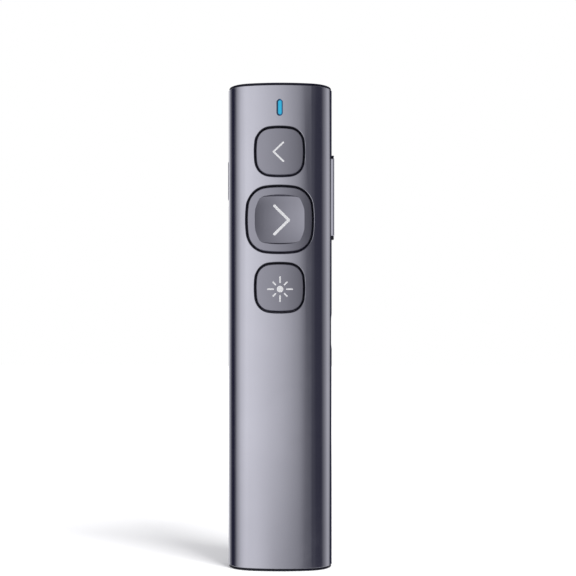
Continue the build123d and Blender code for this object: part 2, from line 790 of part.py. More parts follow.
with BuildPart() as main_board:
    with BuildSketch(Plane.XZ.offset(-main_board_back)):
        with Locations((0, 83)):
            RectangleRounded(21.6, 54, 1.0)
        with Locations(*main_board_screws):
            Circle(screw_radius + 0.1, mode=Mode.SUBTRACT)
    extrude(amount=board_thickness)
save(main_board.part, "main_board")

for name, x, z, width, height, thickness in (
    ("radio_chip", 0.0, 75.0, 4.0, 4.0, 0.8),
    ("charger_chip", -1.5, 64.0, 3.0, 3.0, 0.9),
    ("clock_crystal", -5.5, 76.0, 2.0, 3.2, 0.7),
    ("chip_antenna", -5.0, 57.6, 5.0, 2.0, 1.0),
    ("battery_connector", 1.6, 58.6, 5.0, 3.4, 2.2),
):
    with BuildPart() as chip:
        with BuildSketch(Plane.XZ.offset(-main_board_front)):
            with Locations((x, z)):
                Rectangle(width, height)
        extrude(amount=thickness)
        chamfer(chip.faces().sort_by(Axis.Y)[0].edges(), 0.1)
    save(chip.part, name)

with BuildPart() as board_header:
    with BuildSketch(Plane.XZ.offset(-main_board_front)):
        with Locations((0, 84)):
            Rectangle(6.6, 2.6)
    extrude(amount=main_board_front - key_board_back)
save(board_header.part, "board_header")

with BuildPart() as main_board_fixings:
    with BuildSketch(Plane.XZ.offset(-main_board_front)):
        with Locations(*main_board_screws):
            Circle(screw_radius)
    extrude(amount=-3.2)
    with BuildSketch(Plane.XZ.offset(-main_board_front)):
        with Locations(*main_board_screws):
            Circle(1.3)
    extrude(amount=screw_head)
    with BuildSketch(Plane.XZ.offset(screw_head - main_board_front)):
        with Locations(*main_board_screws):
            Rectangle(1.7, driver_slot)
            Rectangle(driver_slot, 1.7)
    extrude(amount=-0.45, mode=Mode.SUBTRACT)
save(main_board_fixings.part, "main_board_screws")

# ---------------------------------------------------------------- battery and leads

battery_back = web_front - battery_tape
battery_high = battery_low + battery_length

with BuildPart() as battery:
    with BuildSketch(Plane.XZ.offset(-battery_back)):
        with Locations((0, (battery_low + battery_high) / 2)):
            Rectangle(2 * battery_half_width, battery_length)
    extrude(amount=battery_thickness)
    fillet(battery.edges().filter_by(Axis.Z), 0.8)
save(battery.part, "battery")

for name, half, back, thickness in (
    ("battery_tape", 6.0, web_front, battery_tape),
    ("battery_foam", 5.0, battery_back - battery_thickness, 1.1),
):
    with BuildPart() as pad:
        with BuildSketch(Plane.XZ.offset(-back)):
            with Locations((0, (battery_low + battery_high) / 2)):
                Rectangle(2 * half, battery_length - 6)
        extrude(amount=thickness)
    save(pad.part, name)

lead_radius = 0.4


def lead(points, bend):
    """A round wire along a bent path."""
    with BuildPart() as wire:
        with BuildLine() as path:
            FilletPolyline(*points, radius=bend)
        with BuildSketch(Plane(origin=path.line @ 0, z_dir=path.line % 0)):
            Circle(lead_radius)
        sweep()
    return wire.part


connector_low = 58.6 - 1.7

with BuildPart() as battery_leads:
    for x in (0.9, 2.3):
        start = (x, -3.4, battery_high)
        rise = (x, -3.4, battery_high + 2.4)
        reach = (x, 0.4, connector_low - 1.2)
        add(lead([start, rise, reach, (x, 0.4, connector_low)], 0.9))
save(battery_leads.part, "battery_leads")

with BuildPart() as laser_leads:
    driver_low = barrel_low - board_thickness
    for x in (-1.0, 1.0):
        add(lead([(x, -0.6, driver_low), (x, -0.6, 109.4), (x, main_board_front, 107.6)], 1.0))
    add(back_block(4, 100, 112, main_board_front, 3, 0.5), mode=Mode.SUBTRACT)
save(laser_leads.part, "laser_leads")

# ---------------------------------------------------------------- chassis


def chassis_inside():
    """Everything that stands inside the chassis: the battery web, rails, screw posts and laser saddles."""
    with BuildPart() as inside:
        with BuildSketch(Plane.XZ.offset(-web_front)):
            with Locations((0, (chassis_bottom + 54) / 2)):
                Rectangle(2 * half_width, 54 - chassis_bottom)
        extrude(amount=web_front - web_back)
        with BuildSketch(Plane.XZ.offset(-web_front)):
            for side in (-1, 1):
                with Locations((side * (battery_half_width + 0.7), (battery_low + battery_high) / 2)):
                    Rectangle(1.0, battery_length)
        extrude(amount=4.0)
        with BuildSketch(Plane.XY.offset(chassis_bottom)):
            with Locations(*tail_screws):
                Circle(1.8)
        extrude(amount=7.5)
        with BuildSketch(Plane.XZ.offset(-main_board_back)):
            with Locations(*main_board_screws):
                Circle(1.7)
        extrude(amount=-5.5)
        for low in (115.4, 121.6):
            with BuildSketch(Plane.XY.offset(low)):
                with Locations((0, 4.5)):
                    Rectangle(16, 8)
            extrude(amount=1.5)
        add(oval_prism(liner_out + 0.4, chassis_bottom, liner_top), mode=Mode.INTERSECT)
        with BuildSketch(Plane.XY.offset(barrel_low)):
            Circle(barrel_radius + 0.03)
        extrude(amount=barrel_high - barrel_low, mode=Mode.SUBTRACT)
        with BuildSketch(Plane.XY.offset(chassis_bottom)):
            with Locations(*tail_screws):
                Circle(screw_radius + thread_gap)
        extrude(amount=5.5, mode=Mode.SUBTRACT)
        with BuildSketch(Plane.XZ.offset(-main_board_back)):
            with Locations(*main_board_screws):
                Circle(screw_radius + thread_gap)
        extrude(amount=-2.6, mode=Mode.SUBTRACT)
    return inside.part


side_opening = half_width - 3.15

with BuildPart() as chassis:
    add(oval_prism(liner_out, chassis_bottom, liner_top))
    add(oval_prism(liner_in, chassis_bottom, liner_top), mode=Mode.SUBTRACT)
    split(bisect_by=Plane.XZ.offset(-key_board_back), keep=Keep.BOTTOM)
    add(chassis_inside())
    # Openings for the rocker, the charging socket, the power switch and the receiver's bay.
    with BuildSketch(Plane.YZ.offset(side_opening)):
        with Locations((0, rocker_height)):
            Rectangle(2 * bezel_half_width + 0.4, 2 * bezel_half_length + 0.4)
            Rectangle(3.2, 2 * bezel_half_length + 2.4)
        with Locations((0, socket_height)):
            SlotOverall(socket_length + 0.3, socket_depth + 0.3, rotation=90)
    extrude(amount=4, mode=Mode.SUBTRACT)
    with BuildSketch(Plane.YZ.offset(-side_opening)):
        with Locations((0, power_height - power_travel / 2)):
            Rectangle(5.0, 2 * power_half_length + power_travel + 2.6)
    extrude(amount=-4, mode=Mode.SUBTRACT)
    add(back_block(bay_half_width + 0.1, bay_low - 0.1, bay_high + 0.1, web_back, 9, 1.6), mode=Mode.SUBTRACT)
save(chassis.part, "chassis")

with BuildPart() as tail_fixings:
    with BuildSketch(Plane.XY.offset(head_seat)):
        with Locations(*tail_screws):
            Circle(screw_radius)
    extrude(amount=chassis_bottom + 5.0 - head_seat)
    with BuildSketch(Plane.XY.offset(head_seat)):
        with Locations(*tail_screws):
            Circle(1.45)
    extrude(amount=-1.0)
    with BuildSketch(Plane.XY.offset(head_seat - 1.0)):
        with Locations(*tail_screws):
            Rectangle(1.9, driver_slot)
            Rectangle(driver_slot, 1.9)
    extrude(amount=0.55, mode=Mode.SUBTRACT)
save(tail_fixings.part, "tail_screws")
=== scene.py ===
import json
import math

import bmesh
import bpy
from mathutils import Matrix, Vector


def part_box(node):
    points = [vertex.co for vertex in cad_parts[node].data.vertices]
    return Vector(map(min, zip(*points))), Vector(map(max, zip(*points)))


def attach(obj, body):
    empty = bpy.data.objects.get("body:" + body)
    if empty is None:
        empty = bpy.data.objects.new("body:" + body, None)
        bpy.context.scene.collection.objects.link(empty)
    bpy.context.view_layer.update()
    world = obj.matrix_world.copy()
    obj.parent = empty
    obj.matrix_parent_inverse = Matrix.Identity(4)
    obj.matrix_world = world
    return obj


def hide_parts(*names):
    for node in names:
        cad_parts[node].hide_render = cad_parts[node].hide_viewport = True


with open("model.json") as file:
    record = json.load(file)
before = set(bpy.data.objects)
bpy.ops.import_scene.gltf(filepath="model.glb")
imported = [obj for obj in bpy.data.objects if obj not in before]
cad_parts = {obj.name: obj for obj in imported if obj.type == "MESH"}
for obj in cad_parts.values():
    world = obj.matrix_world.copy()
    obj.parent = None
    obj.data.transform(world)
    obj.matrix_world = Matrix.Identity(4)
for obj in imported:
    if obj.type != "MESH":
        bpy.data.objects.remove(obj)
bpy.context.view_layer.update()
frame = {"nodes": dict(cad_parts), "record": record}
nodes = frame["nodes"]

MM = 0.001
SAME = 0.01  # two places nearer than this, in millimetres, are taken for one
WHITE = (1, 1, 1, 1)
BLACK = (0, 0, 0, 1)

# The clicker stands on its tail: +Z runs up to the laser end, the keys face -Y, and +X is the side with the
# volume rocker. Heights are in millimetres above the tail unless a name says otherwise.

# ---------------------------------------------------------------- shader helpers


def feed(node, inputs):
    """Gives each named input of a node its value, or links the socket that feeds it."""
    for name, value in inputs.items():
        if isinstance(value, bpy.types.NodeSocket):
            node.id_data.links.new(value, node.inputs[name])
        else:
            node.inputs[name].default_value = value


def add(tree, kind, inputs=None, **settings):
    """A shader node, with its own properties set and its inputs fed."""
    made = tree.nodes.new(f"ShaderNode{kind}")
    for name, value in settings.items():
        setattr(made, name, value)
    feed(made, inputs or {})
    return made


def math_node(tree, operation, *values, clamp=False):
    """The output of one step of arithmetic."""
    return add(tree, "Math", dict(enumerate(values)), operation=operation, use_clamp=clamp).outputs[0]


def scaled(tree, value, amount, base):
    """A value times an amount, with a base added."""
    return math_node(tree, "MULTIPLY_ADD", value, amount, base)


def object_place(tree):
    """The socket with the place of the shaded point, in metres."""
    return add(tree, "TexCoord").outputs["Object"]


def split(tree, vector):
    """The sockets X, Y and Z of a vector."""
    return add(tree, "SeparateXYZ", {"Vector": vector}).outputs


def spread(tree, value, low, high, to_low=0.0, to_high=1.0):
    """A value moved from one range to another, eased at both ends and held there."""
    inputs = {"Value": value, "From Min": low, "From Max": high, "To Min": to_low, "To Max": to_high}
    return add(tree, "MapRange", inputs, interpolation_type="SMOOTHSTEP").outputs["Result"]


def noise(tree, place, scale, detail=2.0, roughness=0.5, distortion=0.0):
    """Soft noise with a number of blotches per metre."""
    inputs = {"Vector": place, "Scale": scale, "Detail": detail, "Roughness": roughness}
    return add(tree, "TexNoise", inputs | {"Distortion": distortion}).outputs["Fac"]


def cells(tree, place, scale, randomness=1.0, feature="F1"):
    """The distance to the middle, or to the edge, of irregular cells."""
    inputs = {"Vector": place, "Scale": scale, "Randomness": randomness}
    return add(tree, "TexVoronoi", inputs, feature=feature).outputs["Distance"]


def blend(tree, factor, first, second, kind="MIX"):
    """A colour between two others, or the second multiplied with the first or added to it."""
    inputs = {"Factor": factor, "A": first, "B": second}
    return add(tree, "Mix", inputs, data_type="RGBA", blend_type=kind).outputs["Result"]


def shade(color, amount=1.0):
    """A colour made lighter (above 1) or darker (below 1), with full alpha."""
    return (*(min(channel * amount, 1.0) for channel in color), 1.0)


def new_group(name, inputs, outputs):
    """An empty node group, the sockets that its own nodes read, and the node that they feed."""
    tree = bpy.data.node_groups.new(name, "ShaderNodeTree")
    for label, value in inputs.items():
        socket = tree.interface.new_socket(label, in_out="INPUT", socket_type="NodeSocketFloat")
        socket.default_value = value
    for label in outputs:
        tree.interface.new_socket(label, in_out="OUTPUT", socket_type="NodeSocketFloat")
    return tree, tree.nodes.new("NodeGroupInput").outputs, tree.nodes.new("NodeGroupOutput")


def use(tree, group, values):
    """Places a node group in a material and returns its outputs."""
    placed = tree.nodes.new("ShaderNodeGroup")
    placed.node_tree = group
    feed(placed, values)
    return placed.outputs


# ---------------------------------------------------------------- surface effects


def make_grain():
    """Fine grain of a blasted or moulded skin, and the slow drift of its tone."""
    tree, given, result = new_group("grain", {"Grains": 6000.0, "Drift": 60.0}, ["Height", "Tone"])
    place = object_place(tree)
    fine = noise(tree, place, given["Grains"], 3.0, 0.6)
    slow = noise(tree, place, given["Drift"], 3.0, 0.55)
    both = scaled(tree, fine, 0.35, math_node(tree, "MULTIPLY", slow, 0.65))
    feed(result, {"Height": fine, "Tone": spread(tree, both, 0.3, 0.7)})
    return tree


def make_edge_wear():
    """Where an edge is rubbed bright: near edges only, and patchy along them."""
    inputs = {"Reach": 0.2 * MM, "Patches": 400.0, "Amount": 1.0}
    tree, given, result = new_group("edge wear", inputs, ["Worn"])
    rounded = add(tree, "Bevel", {"Radius": given["Reach"]}, samples=6).outputs["Normal"]
    sharp = add(tree, "NewGeometry").outputs["Normal"]
    agreement = add(tree, "VectorMath", {0: rounded, 1: sharp}, operation="DOT_PRODUCT").outputs["Value"]
    bend = spread(tree, agreement, 0.995, 0.80)
    patchy = spread(tree, noise(tree, object_place(tree), given["Patches"], 3.0), 0.38, 0.62, 0.35, 1.0)
    rubbed = math_node(tree, "MULTIPLY", bend, patchy)
    feed(result, {"Worn": math_node(tree, "MULTIPLY", rubbed, given["Amount"], clamp=True)})
    return tree


def make_handling():
    """Faint smudges that hands leave, as a change of gloss."""
    tree, given, result = new_group("handling", {"Smudges": 90.0}, ["Smudge"])
    blotch = noise(tree, object_place(tree), given["Smudges"], 4.0, 0.6, distortion=1.2)
    feed(result, {"Smudge": spread(tree, blotch, 0.42, 0.68)})
    return tree


def make_drawn_lines():
    """Hairlines left by drawing or turning a metal part, along the body's length or round it."""
    tree, given, result = new_group("drawn lines", {"Across": 9000.0, "Along": 60.0}, ["Line"])
    per_axis = {"X": given["Across"], "Y": given["Across"], "Z": given["Along"]}
    inputs = {0: object_place(tree), 1: add(tree, "CombineXYZ", per_axis).outputs["Vector"]}
    drawn_out = add(tree, "VectorMath", inputs, operation="MULTIPLY").outputs["Vector"]
    feed(result, {"Line": noise(tree, drawn_out, 1.0)})
    return tree


GRAIN = make_grain()
EDGE_WEAR = make_edge_wear()
HANDLING = make_handling()
DRAWN_LINES = make_drawn_lines()

# ---------------------------------------------------------------- finishes


def new_material(name):
    """A material, its tree and its Principled shader."""
    material = bpy.data.materials.new(name)
    material.use_nodes = True
    return material, material.node_tree, material.node_tree.nodes["Principled BSDF"]


def bump(tree, shader, height, depth):
    """Feeds a height to the shader's normal. The depth is in millimetres."""
    made = add(tree, "Bump", {"Height": height, "Distance": depth * MM})
    feed(shader, {"Normal": made.outputs["Normal"]})


def anodised(name, color, roughness, worn_color):
    """Aluminium, blasted to a satin and anodised: fine grain, faint draw lines, bright rubbed edges."""
    material, tree, shader = new_material(name)
    grain = use(tree, GRAIN, {"Grains": 5200.0, "Drift": 55.0})
    line = use(tree, DRAWN_LINES, {"Across": 7000.0, "Along": 35.0})["Line"]
    worn = use(tree, EDGE_WEAR, {"Reach": 0.16 * MM, "Patches": 300.0, "Amount": 0.55})["Worn"]
    smudge = use(tree, HANDLING, {"Smudges": 70.0})["Smudge"]
    skin = blend(tree, grain["Tone"], shade(color, 0.975), shade(color, 1.025))
    satin = scaled(tree, line, 0.02, scaled(tree, smudge, 0.035, roughness))
    feed(shader, {
        "Base Color": blend(tree, worn, skin, shade(worn_color)),
        "Metallic": 1.0,
        "Roughness": scaled(tree, worn, -0.06, satin),
    })
    bump(tree, shader, scaled(tree, line, 0.4, grain["Height"]), 0.0012)
    return material


def moulded(name, color, roughness, grains=4500.0, depth=0.004, wear=0.5, shine=0.5):
    """Moulded plastic: spark-eroded texture, drifting tone, edges rubbed smooth and a little lighter."""
    material, tree, shader = new_material(name)
    grain = use(tree, GRAIN, {"Grains": grains, "Drift": 150.0})
    worn = use(tree, EDGE_WEAR, {"Reach": 0.14 * MM, "Patches": 500.0, "Amount": wear})["Worn"]
    smudge = use(tree, HANDLING, {"Smudges": 120.0})["Smudge"]
    skin = blend(tree, grain["Tone"], shade(color, 0.85), shade(color, 1.15))
    rubbed = tuple(channel * 1.6 + 0.006 for channel in color)
    matt = scaled(tree, smudge, -0.08, scaled(tree, grain["Height"], 0.12, roughness - 0.06))
    feed(shader, {
        "Base Color": blend(tree, worn, skin, shade(rubbed)),
        "Roughness": scaled(tree, worn, -0.15, matt),
        "Specular IOR Level": shine,
    })
    bump(tree, shader, grain["Height"], depth)
    return material


def bare_metal(name, color, roughness, lines, wear=0.4):
    """Plated, turned or rolled metal, dulled in patches. Lines says how many hairlines a metre holds, as
    (across, along)."""
    material, tree, shader = new_material(name)
    across, along = lines
    line = use(tree, DRAWN_LINES, {"Across": across, "Along": along})["Line"]
    worn = use(tree, EDGE_WEAR, {"Reach": 0.1 * MM, "Patches": 700.0, "Amount": wear})["Worn"]
    smudge = use(tree, HANDLING, {"Smudges": 260.0})["Smudge"]
    skin = blend(tree, smudge, shade(color), shade(color, 0.86))
    feed(shader, {
        "Base Color": blend(tree, worn, skin, shade(color, 1.25)),
        "Metallic": 1.0,
        "Roughness": scaled(tree, smudge, 0.08, scaled(tree, line, 0.10, roughness - 0.05)),
    })
    bump(tree, shader, line, 0.0015)
    return material


def tinted_window():
    """The laser window: dark red acrylic, polished, with hairline scratches."""
    material, tree, shader = new_material("tinted_window")
    scratches = use(tree, DRAWN_LINES, {"Across": 1500.0, "Along": 1500.0})["Line"]
    smudge = use(tree, HANDLING, {"Smudges": 300.0})["Smudge"]
    feed(shader, {
        "Base Color": blend(tree, smudge, (0.030, 0.004, 0.005, 1), (0.045, 0.010, 0.011, 1)),
        "Roughness": spread(tree, scratches, 0.55, 0.8, 0.06, 0.16),
        "Coat Weight": 0.6,
        "Coat Roughness": 0.04,
    })
    bump(tree, shader, scratches, 0.0004)
    return material


def clear_lens():
    """The collimating lens: clear moulded glass with a faint dusty film."""
    material, tree, shader = new_material("clear_lens")
    smudge = use(tree, HANDLING, {"Smudges": 500.0})["Smudge"]
    feed(shader, {
        "Base Color": blend(tree, smudge, (0.94, 0.97, 0.98, 1), (0.88, 0.92, 0.93, 1)),
        "Roughness": scaled(tree, smudge, 0.06, 0.02),
        "Transmission Weight": 1.0,
        "IOR": 1.52,
    })
    return material


def lit_light_pipe():
    """The indicator's light pipe, lit: a bright core, and a rim painted in shade, from navy on the left to
    mid blue on the right.
    """
    material, tree, shader = new_material("lit_light_pipe")
    low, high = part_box("indicator_lens")
    round_end = 1.05 * MM  # how far the glow's round ends reach in from those of the pipe
    core_side = 0.05 * MM  # how far the core lies to the right of the middle
    inputs = {0: object_place(tree), 1: (low + high) / 2}
    offset = split(tree, add(tree, "VectorMath", inputs, operation="SUBTRACT").outputs["Vector"])
    # Distance from the slot's middle line, so that the glow follows the slot's round ends.
    straight = (high.z - low.z) / 2 - round_end
    past_straight = math_node(tree, "SUBTRACT", math_node(tree, "ABSOLUTE", offset["Z"]), straight)
    along = math_node(tree, "POWER", math_node(tree, "MAXIMUM", past_straight, 0.0), 2.0)
    from_core = math_node(tree, "ABSOLUTE", math_node(tree, "SUBTRACT", offset["X"], core_side))
    across = math_node(tree, "POWER", from_core, 2.0)
    reach = math_node(tree, "SQRT", math_node(tree, "ADD", across, along))
    # Painted shade: towards the pipe's edges the glow and the base colour give way to a darker rim, navy on
    # the left and lighter blue on the right.
    shaded_rim = spread(tree, reach, 0.36 * MM, 0.52 * MM)
    to_right = spread(tree, offset["X"], -0.3 * MM, 0.3 * MM)
    rim_shade_painted = blend(tree, to_right, (0.0, 0.007, 0.032, 1), (0.0, 0.080, 0.200, 1))
    haze = use(tree, GRAIN, {"Grains": 2600.0, "Drift": 900.0})
    glow = blend(tree, haze["Tone"], (0.008, 0.375, 0.610, 1), (0.012, 0.415, 0.670, 1))
    feed(shader, {
        "Emission Color": blend(tree, shaded_rim, glow, rim_shade_painted),
        "Emission Strength": 0.95,
        "Base Color": blend(tree, shaded_rim, (0.006, 0.03, 0.05, 1), (0.003, 0.02, 0.04, 1)),
        "Roughness": scaled(tree, haze["Height"], 0.1, 0.16),
    })
    bump(tree, shader, haze["Height"], 0.0008)
    return material


def printed_ink():
    """Pad-printed pale grey ink: opaque, slightly uneven, with a soft sheen."""
    material, tree, shader = new_material("printed_ink")
    grain = use(tree, GRAIN, {"Grains": 7000.0, "Drift": 700.0})
    feed(shader, {
        "Base Color": blend(tree, grain["Tone"], (0.46, 0.46, 0.47, 1), (0.49, 0.49, 0.50, 1)),
        "Roughness": scaled(tree, grain["Height"], 0.15, 0.42),
    })
    bump(tree, shader, grain["Height"], 0.002)
    return material


def circuit_board():
    """Solder mask over copper: traces show as a lighter green, with bare pads between them."""
    material, tree, shader = new_material("circuit_board")
    place = object_place(tree)
    flat = add(tree, "Mapping", {"Vector": place, "Rotation": (math.pi / 2, 0, 0)}).outputs["Vector"]
    inputs = {"Vector": flat, "Scale": 900.0, "Mortar Size": 0.016, "Brick Width": 0.9, "Row Height": 0.5}
    tracks = add(tree, "TexBrick", inputs).outputs["Fac"]
    pads = spread(tree, cells(tree, place, 420.0, randomness=0.7), 0.20, 0.16)
    grain = use(tree, GRAIN, {"Grains": 5000.0, "Drift": 300.0})
    mask = blend(tree, grain["Tone"], (0.006, 0.060, 0.028, 1), (0.009, 0.080, 0.036, 1))
    traced = blend(tree, tracks, mask, (0.020, 0.150, 0.060, 1))
    feed(shader, {
        "Base Color": blend(tree, pads, traced, (0.78, 0.60, 0.28, 1)),
        "Metallic": pads,
        "Roughness": scaled(tree, grain["Height"], 0.15, 0.28),
    })
    bump(tree, shader, math_node(tree, "ADD", tracks, pads), 0.015)
    return material


def rubber():
    """Soft black rubber, dull, with a dusty bloom."""
    material, tree, shader = new_material("pad_rubber")
    grain = use(tree, GRAIN, {"Grains": 3800.0, "Drift": 200.0})
    dust = use(tree, HANDLING, {"Smudges": 160.0})["Smudge"]
    skin = blend(tree, grain["Tone"], (0.012, 0.012, 0.013, 1), (0.020, 0.020, 0.021, 1))
    bloom = math_node(tree, "MULTIPLY", dust, 0.4)
    feed(shader, {
        "Base Color": blend(tree, bloom, skin, (0.06, 0.058, 0.055, 1)),
        "Roughness": scaled(tree, grain["Height"], 0.2, 0.68),
    })
    bump(tree, shader, grain["Height"], 0.01)
    return material


def battery_pouch():
    """Aluminium laminate, creased where it was folded, with amber tape over the sealed end."""
    material, tree, shader = new_material("battery_pouch")
    place = object_place(tree)
    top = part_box("battery")[1].z
    taped = spread(tree, split(tree, place)["Z"], top - 4.1 * MM, top - 4.0 * MM)
    creases = cells(tree, place, 150.0, feature="DISTANCE_TO_EDGE")
    grain = use(tree, GRAIN, {"Grains": 2500.0, "Drift": 90.0})
    foil = blend(tree, grain["Tone"], (0.46, 0.47, 0.49, 1), (0.60, 0.61, 0.63, 1))
    feed(shader, {
        "Base Color": blend(tree, taped, foil, (0.45, 0.20, 0.03, 1)),
        "Metallic": scaled(tree, taped, -0.75, 0.75),
        "Roughness": scaled(tree, grain["Height"], 0.2, 0.3),
    })
    bump(tree, shader, spread(tree, creases, 0.0, 0.12), 0.03)
    return material


def lead_insulation():
    """Silicone insulation: the right-hand lead of each pair is red and the left-hand one black."""
    material, tree, shader = new_material("lead_insulation")
    to_right = spread(tree, split(tree, object_place(tree))["X"], -0.2 * MM, 0.0)
    grain = use(tree, GRAIN, {"Grains": 3000.0, "Drift": 400.0})
    red = blend(tree, grain["Tone"], (0.42, 0.015, 0.012, 1), (0.55, 0.025, 0.018, 1))
    feed(shader, {
        "Base Color": blend(tree, to_right, (0.012, 0.012, 0.014, 1), red),
        "Roughness": scaled(tree, grain["Height"], 0.15, 0.38),
    })
    bump(tree, shader, grain["Height"], 0.003)
    return material


def foam():
    """Open-cell foam: dark, with small pores, each sunk by the bump and painted darker as shade in its
    hollow.
    """
    material, tree, shader = new_material("foam")
    pores_and_shade = spread(tree, cells(tree, object_place(tree), 2200.0), 0.2, 0.6)
    feed(shader, {
        # Painted shade: the colour is darkest in the middle of each pore, where the bump sinks it.
        "Base Color": blend(tree, pores_and_shade, (0.03, 0.03, 0.032, 1), (0.11, 0.11, 0.115, 1)),
        "Roughness": scaled(tree, pores_and_shade, 0.15, 0.8),
    })
    bump(tree, shader, pores_and_shade, 0.12)
    return material


def woven_tape():
    """White adhesive tape with a fine weave."""
    material, tree, shader = new_material("woven_tape")
    inputs = {"Vector": object_place(tree), "Scale": 700.0, "Distortion": 0.6}
    warp, weft = (add(tree, "TexWave", inputs, bands_direction=axis).outputs["Fac"] for axis in "XZ")
    weave = math_node(tree, "MULTIPLY", warp, weft)
    feed(shader, {
        "Base Color": blend(tree, weave, (0.62, 0.62, 0.59, 1), (0.84, 0.84, 0.81, 1)),
        "Roughness": scaled(tree, weave, -0.2, 0.75),
    })
    bump(tree, shader, weave, 0.02)
    return material


# The finish of each material slot.
finishes = {
    "tube_metal": anodised("tube_anodising", (0.575, 0.573, 0.640), 0.135, worn_color=(0.78, 0.78, 0.82)),
    "key_metal": anodised("key_anodising", (0.355, 0.353, 0.405), 0.28, worn_color=(0.52, 0.52, 0.57)),
    "black_plastic": moulded("black_plastic", (0.004, 0.004, 0.012), 0.45, wear=0.3, shine=0.25),
    "receiver_plastic": moulded("receiver_plastic", (0.014, 0.014, 0.016), 0.38, grains=3600.0),
    "switch_black": moulded("switch_nylon", (0.016, 0.016, 0.018), 0.48, grains=2500.0, depth=0.008),
    "plunger_plastic": moulded("plunger_acetal", (0.62, 0.60, 0.55), 0.40, wear=0.2),
    "connector_white": moulded("connector_nylon", (0.66, 0.65, 0.60), 0.46, wear=0.2),
    "chip_black": moulded("chip_epoxy", (0.014, 0.014, 0.015), 0.55, grains=8000.0, depth=0.006, wear=0.2),
    "steel": bare_metal("rolled_steel", (0.62, 0.62, 0.64), 0.24, lines=(5000, 150)),
    "screw_steel": bare_metal("blackened_screw", (0.16, 0.16, 0.17), 0.34, lines=(2500, 2500), wear=1.0),
    "contact_gold": bare_metal("contact_gold", (0.86, 0.64, 0.27), 0.20, lines=(4000, 4000)),
    "laser_brass": bare_metal("turned_brass", (0.78, 0.58, 0.27), 0.22, lines=(60, 9000), wear=0.8),
    "magnet_nickel": bare_metal("plated_nickel", (0.70, 0.68, 0.64), 0.12, lines=(1200, 1200)),
    "pad_rubber": rubber(),
    "dark_glass": tinted_window(),
    "indicator_blue": lit_light_pipe(),
    "lens_clear": clear_lens(),
    "board_green": circuit_board(),
    "battery_pouch": battery_pouch(),
    "tape_white": woven_tape(),
    "foam_grey": foam(),
    "lead_red": lead_insulation(),
    "legend_print": printed_ink(),
}
for entry in frame["record"]["subparts"]:
    slots = nodes[entry["node"]].data.materials
    slots.clear()
    slots.append(finishes[entry["material_slot"]])
# The indicator's surround is moulded with its light pipe and is given the pipe's finish, so it glows with the
# blue of the pipe's painted rim shade, though it is no lamp.
nodes["indicator_bezel"].data.materials[0] = finishes["indicator_blue"]

# ---------------------------------------------------------------- modelling helpers

AHEAD = -12.0  # depth of flat artwork before it is pressed on, in front of every key
BEHIND = 12.0  # the same behind the body
STEP = 0.3  # length of the short pieces that let a stroke follow a curved face


def deselect_all():
    """Leaves nothing selected, so that an operator only reaches the new piece."""
    bpy.ops.object.select_all(action="DESELECT")


def make_active(piece):
    """Selects one piece alone."""
    deselect_all()
    piece.select_set(True)
    bpy.context.view_layer.objects.active = piece


def pick(piece, wanted):
    """In edit mode, selects the vertices at a wanted place, in millimetres from the piece's own origin."""
    bpy.ops.mesh.select_all(action="DESELECT")
    bpy.ops.mesh.select_mode(type="VERT")
    mesh = bmesh.from_edit_mesh(piece.data)
    for vertex in mesh.verts:
        vertex.select = wanted(vertex.co / MM)
    mesh.select_flush_mode()
    bmesh.update_edit_mesh(piece.data)


def flat_disc(name, radius, place, turned, vertices, insets):
    """A flat disc, with rings inside it that let it follow a curved face. Insets are in millimetres."""
    deselect_all()
    bpy.ops.mesh.primitive_circle_add(
        vertices=vertices, radius=radius * MM, fill_type="NGON", location=place, rotation=turned
    )
    disc = bpy.context.object
    disc.name = name
    bpy.ops.object.transform_apply(location=False, rotation=True, scale=False)
    bpy.ops.object.mode_set(mode="EDIT")
    for inset in insets:
        bpy.ops.mesh.inset(thickness=inset * MM)
    bpy.ops.object.mode_set(mode="OBJECT")
    return disc


def stroke(name, centre, start, length, width, angle, round_start=True, depth=AHEAD):
    """A flat stroke that leaves a centre (x, z) at an angle, from start, with one or both ends round."""
    deselect_all()
    place = (centre[0] * MM, depth * MM, centre[1] * MM)
    steps = max(2, round(length / STEP))
    bpy.ops.mesh.primitive_grid_add(x_subdivisions=steps, y_subdivisions=1, size=MM, location=place)
    piece = bpy.context.object
    piece.name = name
    piece.scale = (length, width, 1)
    bpy.ops.object.transform_apply(location=False, rotation=False, scale=True)
    bpy.ops.object.mode_set(mode="EDIT")
    bpy.ops.mesh.select_all(action="SELECT")
    bpy.ops.transform.translate(value=((start + length / 2) * MM, 0, 0))
    ends = [start + length] + [start] * round_start
    pick(piece, lambda spot: any(abs(spot.x - end) < SAME for end in ends))
    bpy.ops.mesh.bevel(offset=0.49 * width * MM, segments=5, affect="VERTICES")
    bpy.ops.object.mode_set(mode="OBJECT")
    piece.rotation_euler = (math.pi / 2, -angle, 0)
    bpy.ops.object.transform_apply(location=False, rotation=True, scale=False)
    return piece


def join(pieces):
    """Makes one piece of several; it keeps the first one's name."""
    deselect_all()
    for piece in pieces:
        piece.select_set(True)
    bpy.context.view_layer.objects.active = pieces[0]
    bpy.ops.object.join()
    return pieces[0]


def press_onto(piece, node, towards_back=True):
    """Lets flat artwork follow the face of a CAD node that lies behind it, or in front of it."""
    make_active(piece)
    bpy.ops.object.transform_apply(location=True, rotation=True, scale=True)
    wrap = piece.modifiers.new("onto_face", "SHRINKWRAP")
    wrap.target = nodes[node]
    wrap.wrap_method = "PROJECT"
    wrap.use_project_y = True
    wrap.use_positive_direction = towards_back
    wrap.use_negative_direction = not towards_back
    bpy.ops.object.modifier_apply(modifier="onto_face")


def thicken(piece, thickness):
    """Gives flat artwork a thickness in millimetres, half of it on either side."""
    make_active(piece)
    solid = piece.modifiers.new("thickness", "SOLIDIFY")
    solid.thickness = thickness * MM
    solid.offset = 0
    bpy.ops.object.modifier_apply(modifier="thickness")


